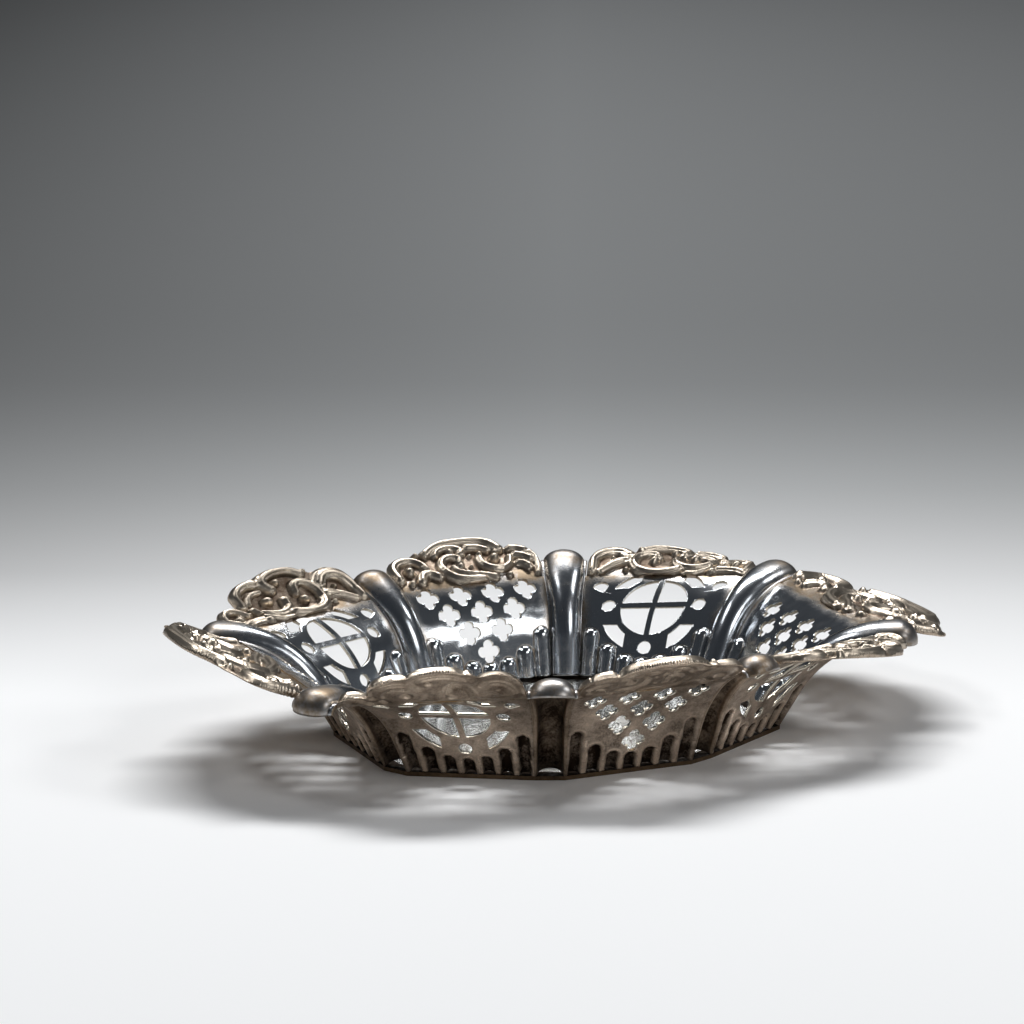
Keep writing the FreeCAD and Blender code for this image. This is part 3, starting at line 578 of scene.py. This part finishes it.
# Two designs, the one over a wheel and the one over quatrefoils, in shares of a border's
# half-width and height. An edge; rolls, each with its points, its half-width at the start and at
# the end and its height in millimetres; and beads, each with its middle, radius and height.
WHEEL_EDGE = (
    (-1.0, 0.0), (-1.0, 0.3), (-0.97, 0.52), (-0.88, 0.68), (-0.75, 0.77), (-0.58, 0.76),
    (-0.5, 0.84), (-0.42, 0.87), (-0.32, 0.95), (-0.1, 1.0), (0.08, 0.97), (0.25, 0.95),
    (0.4, 0.9), (0.52, 0.78), (0.59, 0.57), (0.7, 0.6), (0.83, 0.58), (0.94, 0.45), (1.0, 0.28),
    (1.0, 0.0))
WHEEL_ROLLS = (
    (((-0.95, 0.12), (-0.95, 0.36), (-0.87, 0.55), (-0.75, 0.64), (-0.63, 0.64), (-0.55, 0.55)),
      1.1, 1.3, 1.5),
    (((-0.83, 0.1), (-0.74, 0.22), (-0.64, 0.32), (-0.55, 0.36)), 0.8, 1.25, 1.4),
    (((-0.2, 0.5), (-0.25, 0.64), (-0.36, 0.65), (-0.45, 0.52), (-0.47, 0.33), (-0.4, 0.16),
      (-0.26, 0.07), (-0.08, 0.05), (0.06, 0.09), (0.11, 0.12)), 0.75, 1.15, 1.6),
    (((-0.41, 0.77), (-0.33, 0.87), (-0.22, 0.92), (-0.08, 0.93), (0.03, 0.89), (0.08, 0.79),
      (0.05, 0.68)), 0.85, 1.05, 1.65),
    (((0.17, 0.85), (0.28, 0.88), (0.41, 0.83), (0.5, 0.71), (0.54, 0.54)), 1.1, 0.9, 1.6),
    (((0.2, 0.7), (0.3, 0.7), (0.38, 0.64), (0.43, 0.55)), 0.6, 0.5, 1.2),
    (((0.01, 0.44), (0.06, 0.28), (0.18, 0.19), (0.32, 0.18), (0.43, 0.27), (0.47, 0.42)),
      0.95, 0.75, 1.5),
    (((0.24, 0.03), (0.34, 0.04), (0.43, 0.11), (0.48, 0.22)), 0.8, 0.5, 1.2),
    (((0.6, 0.14), (0.72, 0.14), (0.84, 0.12), (0.95, 0.06)), 1.0, 0.8, 1.3),
    (((0.62, 0.36), (0.68, 0.49), (0.78, 0.53), (0.88, 0.44), (0.94, 0.28), (0.95, 0.12)),
      0.85, 0.8, 1.45),
)
WHEEL_BEADS = (
    (-0.46, 0.8, 0.8, 1.3), (-0.23, 0.37, 1.2, 1.6), (-0.07, 0.76, 0.95, 1.5),
    (0.22, 0.5, 1.25, 1.8), (0.55, 0.08, 1.15, 1.4), (0.77, 0.3, 1.3, 1.6),
    (-0.53, 0.14, 0.7, 1.0), (0.08, 0.6, 0.5, 1.0), (0.56, 0.38, 0.55, 1.0),
    (-0.72, 0.44, 0.5, 0.9))
FOIL_EDGE = (
    (-1.0, 0.0), (-1.0, 0.36), (-0.95, 0.55), (-0.82, 0.68), (-0.66, 0.73), (-0.55, 0.79),
    (-0.44, 0.81), (-0.3, 0.92), (-0.15, 0.99), (0.1, 1.0), (0.32, 0.96), (0.48, 0.86),
    (0.57, 0.75), (0.72, 0.77), (0.86, 0.68), (0.95, 0.52), (1.0, 0.36), (1.0, 0.0))
FOIL_ROLLS = (
    (((-0.94, 0.22), (-0.93, 0.42), (-0.85, 0.56), (-0.73, 0.62), (-0.61, 0.6), (-0.53, 0.5),
      (-0.5, 0.38)), 1.05, 0.7, 1.5),
    (((-0.66, 0.14), (-0.6, 0.25), (-0.5, 0.28), (-0.4, 0.2)), 0.9, 0.8, 1.4),
    (((-0.41, 0.74), (-0.32, 0.84), (-0.2, 0.91), (-0.04, 0.93), (0.14, 0.93), (0.3, 0.9),
      (0.42, 0.81), (0.49, 0.69)), 0.9, 1.1, 1.7),
    (((-0.3, 0.68), (-0.25, 0.77), (-0.15, 0.82), (-0.04, 0.81), (0.03, 0.74), (0.02, 0.66)),
      0.6, 0.8, 1.4),
    (((0.14, 0.79), (0.26, 0.77), (0.36, 0.7)), 0.9, 0.7, 1.35),
    (((-0.04, 0.46), (-0.04, 0.56), (-0.13, 0.61), (-0.23, 0.56), (-0.3, 0.42), (-0.27, 0.24),
      (-0.16, 0.12), (0.0, 0.07), (0.16, 0.05)), 0.6, 1.0, 1.6),
    (((-0.15, 0.38), (-0.11, 0.27), (0.02, 0.2), (0.18, 0.15), (0.34, 0.08)), 0.5, 0.8, 1.3),
    (((0.22, 0.5), (0.24, 0.36), (0.34, 0.26), (0.48, 0.24), (0.58, 0.32), (0.61, 0.47)),
      0.85, 0.7, 1.5),
    (((0.64, 0.68), (0.73, 0.66), (0.82, 0.6)), 0.8, 0.85, 1.4),
    (((0.69, 0.52), (0.79, 0.47), (0.87, 0.39)), 0.8, 0.85, 1.4),
    (((0.71, 0.34), (0.78, 0.3), (0.84, 0.22)), 0.7, 0.8, 1.3),
    (((0.89, 0.55), (0.95, 0.4), (0.96, 0.22), (0.94, 0.08)), 0.8, 0.6, 1.2),
)
FOIL_BEADS = (
    (-0.74, 0.36, 1.25, 1.6), (-0.53, 0.73, 0.75, 1.2), (-0.1, 0.72, 0.85, 1.4),
    (-0.06, 0.36, 0.95, 1.5), (0.41, 0.48, 1.25, 1.8), (0.25, 0.62, 0.7, 1.2),
    (0.45, 0.62, 0.8, 1.3), (-0.8, 0.12, 0.8, 1.1), (0.55, 0.1, 0.8, 1.1), (0.08, 0.36, 0.5, 0.9),
    (0.12, 0.6, 0.5, 0.9))


def smooth_path(points, steps):
    """A rounded path through points."""
    path = []
    for i in range(len(points) - 1):
        a = Vector(points[max(i - 1, 0)])
        b, c = Vector(points[i]), Vector(points[i + 1])
        d = Vector(points[min(i + 2, len(points) - 1)])
        for step in range(steps):
            t = step / steps
            path.append(0.5 * (2 * b + (c - a) * t + (2 * a - 5 * b + 4 * c - d) * t * t
                               + (3 * b - a - 3 * c + d) * t ** 3))
    path.append(Vector(points[-1]))
    return path


def half_round(gap):
    """The height of a half-round of radius 1 at a gap from its middle."""
    return max(0.0, 1 - gap * gap) ** 0.5


def roll(points, start, end, height):
    """A roll as the straight steps of its path, and the box that it reaches."""
    path = smooth_path(points, 6)
    reach = ROLL_SPREAD * max(start, end)
    xs, ys = [place.x for place in path], [place.y for place in path]
    box = min(xs) - reach, max(xs) + reach, min(ys) - reach, max(ys) + reach
    steps = [(a.x, a.y, b.x - a.x, b.y - a.y) for a, b in zip(path, path[1:])]
    return steps, box, start, end, height


def relief(x, y, rolls, beads):
    """How far the stamping stands up at a point, on grooved rolls and round beads.

    Powers over 1 draw the crests of rolls and beads a little narrower than a half-round.
    """
    rise = 0.0
    for steps, (low_x, high_x, low_y, high_y), start, end, height in rolls:
        if not (low_x < x < high_x and low_y < y < high_y):
            continue
        nearest, half = 9.0, start
        for i, (from_x, from_y, along_x, along_y) in enumerate(steps):
            part = (x - from_x) * along_x + (y - from_y) * along_y
            part = min(1.0, max(0.0, part / (along_x ** 2 + along_y ** 2)))
            here = start + (end - start) * (i + part) / len(steps)
            gap = math.hypot(from_x + along_x * part - x, from_y + along_y * part - y) / here
            if gap < nearest:
                nearest, half = gap, here
        full = height * (half / max(start, end)) ** 0.5
        groove = GROOVE_DEPTH * half_round((nearest - 0.6) / 0.2)
        rise = max(rise, full * half_round(nearest / ROLL_SPREAD) ** 1.4 - groove)
    for bead_x, bead_y, radius, height in beads:
        gap = math.hypot(bead_x - x, bead_y - y) / radius
        rise = max(rise, height * half_round(gap) ** 1.3)
    return rise


# The front of the relief, raised by the die and rubbed on its heights: warm grey, with brown old
# polish left in the ground between the rolls
border_front = silver("stamped_silver_relief", bright="C6BAAA", tarnish="67574A", gloss=0.32,
                      dull=0.5, grain_mm=0.35, grain_depth_mm=0.022, cloud_mm=2.5,
                      base_tarnish=0.05)
# Its back, where the rolls show only as soft swellings: a smooth brown-grey satin
border_back = silver("stamped_silver_smooth_back", bright="C8B6A2", tarnish="5C4B3C", gloss=0.24,
                     dull=0.45, grain_mm=0.3, grain_depth_mm=0.006, cloud_mm=3.0, depth="grime_and_painted_light")

# Each design is stamped once, flat, for each shape of border that has it, and then bent to its
# places. The borders of the ends are the largest, and their rolls and beads grow with them.
STAMPINGS = {}
for shape, wall, edge, rolls, beads, grown in (
        ("diagonal", Wall(Seam("side", -1, 1, 1), Seam("end", 1, 1, 1)),
         WHEEL_EDGE, WHEEL_ROLLS, WHEEL_BEADS, 1),
        ("side", Wall(Seam("side", 1, -1, 1), Seam("side", 1, 1, 1)),
         FOIL_EDGE, FOIL_ROLLS, FOIL_BEADS, 1),
        ("end", Wall(Seam("end", -1, 1, 1), Seam("end", -1, 1, -1)),
         FOIL_EDGE, FOIL_ROLLS, FOIL_BEADS, 1.35)):
    half = wall.width(2) / 2
    tall = wall.distance(2) - wall.distance(PANEL_TOP) + REACH[shape]
    shaped = [roll([(x * half, y * tall) for x, y in points], start * grown, end * grown, height)
              for points, start, end, height in rolls]
    studs = [(x * half, y * tall, radius * grown, height) for x, y, radius, height in beads]
    outline = [(x * half, y * tall) for x, y in smooth_path(edge, 8)]
    near = KDTree(len(outline))
    for i, (x, y) in enumerate(outline):
        near.insert((x, y, 0), i)
    near.balance()
    flat = flat_sheet(shape + "_stamping", outline, [], BORDER_PITCH * grown)
    height = flat.verts.layers.float.new("height")
    plain = flat.verts.layers.float.new("plain")
    tarnish = flat.verts.layers.float.new("tarnish")
    grime_and_painted_light = flat.verts.layers.float.new("grime_and_painted_light")
    for vert in flat.verts:
        rise = relief(vert.co.x, vert.co.y, shaped, studs)
        lip = half_round(1 - min(1.0, near.find(vert.co)[2] / LIP))
        low = vert.co.y / tall < PLAIN_SHARE
        vert[height] = (GROUND + rise) * lip
        vert[plain] = 1.0 if rise < 0.25 and low else 0.0
        vert[tarnish] = 0.9 if vert[plain] else 0.85 * max(0.0, 1 - rise / 0.7) * lip
        vert[grime_and_painted_light] = 0.45 - 0.35 * (1 - lip) + 0.2 * max(0.0, 1 - rise)
    STAMPINGS[shape] = flat, half, tall


def border(node, left, right, shape, lift):
    """A stamping made solid and bent between two seams: along the sweep, then straight out."""
    wall = Wall(left, right)
    lead = wall.distance(2) - wall.distance(PANEL_TOP)
    flat, half, tall = STAMPINGS[shape]
    turned = -1 if shape == "diagonal" and left.kind == "end" else 1
    rims = []
    for seam in (left, right):
        slope = math.radians(RIM_SLOPE[seam.kind] + lift)
        forward = seam.outward * math.cos(slope) + Vector((0, 0, math.sin(slope)))
        rims.append((seam.point(2), forward))
    bm = flat.copy()
    height, plain = bm.verts.layers.float["height"], bm.verts.layers.float["plain"]
    fronts = bm.faces[:]
    made = bmesh.ops.extrude_face_region(bm, geom=fronts, use_keep_orig=True)
    backs = {item for item in made["geom"] if isinstance(item, bmesh.types.BMVert)}
    for face in bm.faces:
        face.material_index = 1
    for face in fronts:
        face.material_index = 2 if all(vert[plain] for vert in face.verts) else 0
    for vert in bm.verts:
        out = vert.co.y / tall * (lead + REACH[shape])
        share = 0.5 + vert.co.x / half * turned / 2 * BORDER_FIT
        # Over the panel's last share the border lies on the sweep, and past the rim it is straight
        if out <= lead:
            up = PANEL_TOP + BORDER_SHARE * out / lead
            low = wall.at(share, up)
            forward = wall.at(share, up + 0.01) - low
        else:
            (left_rim, left_forward), (right_rim, right_forward) = rims
            low = ((left_rim + left_forward * (out - lead)) * (1 - share)
                   + (right_rim + right_forward * (out - lead)) * share)
            forward = left_forward * (1 - share) + right_forward * share
        inward = (right.point(2) - left.point(2)).cross(forward).normalized()
        if vert in backs:
            stand = BACK_SWELL * vert[height] ** 2
        else:
            stand = BORDER_SHEET + vert[height]
        vert.co = low + inward * stand
    bmesh.ops.recalc_face_normals(bm, faces=bm.faces)
    return finish_sheet(node + "_dressed", bm, node,
                        [border_front, border_back, panel_inside])


border("scroll_border_right", Seam("end", -1, 1, 1), Seam("end", -1, 1, -1), "end", -13)
border("scroll_border_left", Seam("end", -1, -1, -1), Seam("end", -1, -1, 1), "end", 22)
border("scroll_border_back", Seam("side", 1, -1, 1), Seam("side", 1, 1, 1), "side", 0)
border("scroll_border_front", Seam("side", 1, 1, -1), Seam("side", 1, -1, -1), "side", 10)
border("scroll_border_back_right", Seam("side", -1, 1, 1), Seam("end", 1, 1, 1),
       "diagonal", -12)
border("scroll_border_front_right", Seam("end", 1, 1, -1), Seam("side", -1, 1, -1),
       "diagonal", -12)
border("scroll_border_back_left", Seam("end", 1, -1, 1), Seam("side", -1, -1, 1),
       "diagonal", 26)
border("scroll_border_front_left", Seam("side", -1, -1, -1), Seam("end", 1, -1, -1),
       "diagonal", 28)


# Table and backdrop
# A sheet of photographer's paper under the dish, painted with shade from white beneath it to grey
# behind it for the light falling off, lying flat and curving up far behind. Its sizes are in
# metres.
VIEW_TURN = -24.3
PAPER_HALF, PAPER_FRONT, PAPER_LONG = 2.6, 2.2, 5.2
PAPER_FLAT, PAPER_BEND = 1.6, 0.8

# The paper's painted shade for the light falling off, by how far behind the dish it lies
SHADES = ((0.04, "F8F9FA"), (0.1, "E4E5E6"), (0.15, "C0C1C2"), (0.2, "A3A5A6"), (0.26, "888A8B"),
          (0.32, "757778"), (0.42, "6E7071"), (1.0, "747677"))

# Uncoated paper: matt, with hardly any sheen, and painted shade behind the dish towards both sides
paper = bpy.data.materials.new("matt_paper_painted_falloff")
paper.use_nodes = True
tree = paper.node_tree
shader = tree.nodes["Principled BSDF"]
shader.inputs["Roughness"].default_value = 0.8
shader.inputs["Specular IOR Level"].default_value = 0.15
apart = add(tree, "SeparateXYZ", Vector=add(tree, "TexCoord").outputs["Object"])
shade = add(tree, "ValToRGB", Fac=apart.outputs["Y"])
ramp = shade.color_ramp
ramp.interpolation = "B_SPLINE"
for i, (distance, code) in enumerate(SHADES):
    stop = ramp.elements[i] if i < 2 else ramp.elements.new(distance)
    stop.position = distance
    stop.color = srgb(code)
left = add(tree, "MapRange", Value=apart.outputs["X"], From_Min=-0.3, From_Max=0.0,
           To_Min=0.19, To_Max=1.0)
right = add(tree, "MapRange", Value=apart.outputs["X"], From_Min=0.0, From_Max=0.3,
            To_Min=1.0, To_Max=0.65)
sides = add(tree, "Math", {"operation": "MULTIPLY"}, i0=left.outputs["Result"],
            i1=right.outputs["Result"])
behind = add(tree, "MapRange", Value=apart.outputs["Y"], From_Min=0.02, From_Max=0.12)
fade = add(tree, "MapRange", Value=behind.outputs["Result"], To_Min=1.0,
           To_Max=sides.outputs["Value"])
faded = add(tree, "VectorMath", {"operation": "SCALE"}, i0=shade.outputs["Color"],
            Scale=fade.outputs["Result"])
tree.links.new(faded.outputs["Vector"], shader.inputs["Base Color"])
bm = bmesh.new()
bmesh.ops.create_grid(bm, x_segments=2, y_segments=60, size=1.0)
for vert in bm.verts:
    along = (vert.co.y + 1) / 2 * PAPER_LONG - PAPER_FRONT
    bend = min(math.pi / 2, max(0.0, (along - PAPER_FLAT) / PAPER_BEND))
    wall_high = max(0.0, along - PAPER_FLAT - PAPER_BEND * math.pi / 2)
    vert.co = (vert.co.x * PAPER_HALF, min(along, PAPER_FLAT) + PAPER_BEND * math.sin(bend),
               PAPER_BEND * (1 - math.cos(bend)) + wall_high)
mesh = bpy.data.meshes.new("paper_sweep")
bm.to_mesh(mesh)
bm.free()
mesh.shade_smooth()
mesh.materials.append(paper)
sweep = bpy.data.objects.new("paper_sweep", mesh)
sweep.rotation_euler.z = math.radians(VIEW_TURN)
bpy.context.scene.collection.objects.link(sweep)


# Studio light
# One broad soft box high behind the dish, which throws its shadow forward and lies as a glare on
# the far panels. Three faint small ones, at the camera's right and at both sides, and a dim room.
def soft_box(name, turn, height, distance, wide, tall, power):
    """A plain white panel at a turn from the camera's side and a height in degrees."""
    lamp = bpy.data.lights.new(name, "AREA")
    lamp.shape = "RECTANGLE"
    lamp.size, lamp.size_y, lamp.energy = wide, tall, power
    box = bpy.data.objects.new(name, lamp)
    a, e = math.radians(VIEW_TURN + turn), math.radians(height)
    place = Vector((math.sin(a) * math.cos(e), -math.cos(a) * math.cos(e), math.sin(e))) * distance
    box.location = place
    box.rotation_mode = "QUATERNION"
    box.rotation_quaternion = (-place).to_track_quat("-Z", "Y")
    bpy.context.scene.collection.objects.link(box)


soft_box("key_light", turn=50, height=33, distance=1.6, wide=0.6, tall=0.4, power=3.4)
soft_box("left_light", turn=-95, height=58, distance=1.5, wide=0.5, tall=0.3, power=2.8)
soft_box("right_light", turn=100, height=46, distance=1.5, wide=0.4, tall=0.3, power=2.8)
soft_box("back_light", turn=182, height=60, distance=1.5, wide=1.0, tall=0.3, power=20)
world = bpy.data.worlds.new("dim_studio")
bpy.context.scene.world = world
world.use_nodes = True
tree = world.node_tree
upwards = add(tree, "SeparateXYZ", Vector=add(tree, "TexCoord").outputs["Generated"])
room = add(tree, "ValToRGB", Fac=upwards.outputs["Z"])
room.color_ramp.elements[0].color = srgb("6A6E73")
room.color_ramp.elements[1].position = 0.4
room.color_ramp.elements[1].color = srgb("36393D")
tree.links.new(room.outputs["Color"], tree.nodes["Background"].inputs["Color"])
tree.nodes["Background"].inputs["Strength"].default_value = 1.0

# Plain film, which keeps the shadows deep and the browns rich
bpy.context.scene.view_settings.view_transform = "Standard"


# Camera
# A long lens, low over the near left quarter of the dish, turned so that the dish sits a little
# below and right of the middle of the frame.
VIEW_HEIGHT, VIEW_DISTANCE, LENS, SENSOR = 16.2, 0.910, 166.4, 36
FRAME_PIXELS, DISH_PIXEL = 1024, (558.7, 728)

yaw, elevation = math.radians(VIEW_TURN), math.radians(VIEW_HEIGHT)
back = Vector((math.sin(yaw) * math.cos(elevation), -math.cos(yaw) * math.cos(elevation),
               math.sin(elevation)))
camera = bpy.data.objects.new("camera", bpy.data.cameras.new("camera"))
camera.data.sensor_width = SENSOR
camera.data.lens = LENS
camera.location = back * VIEW_DISTANCE
right = Vector((math.cos(yaw), math.sin(yaw), 0))
upward = right.cross(-back)
lens_pixels = camera.data.lens / camera.data.sensor_width * FRAME_PIXELS
aim = (-back * lens_pixels - right * (DISH_PIXEL[0] - FRAME_PIXELS / 2)
       + upward * (DISH_PIXEL[1] - FRAME_PIXELS / 2))
camera.rotation_mode = "QUATERNION"
camera.rotation_quaternion = aim.to_track_quat("-Z", "Y")
camera.data.clip_start, camera.data.clip_end = 0.05, 20
bpy.context.scene.collection.objects.link(camera)
bpy.context.scene.camera = camera
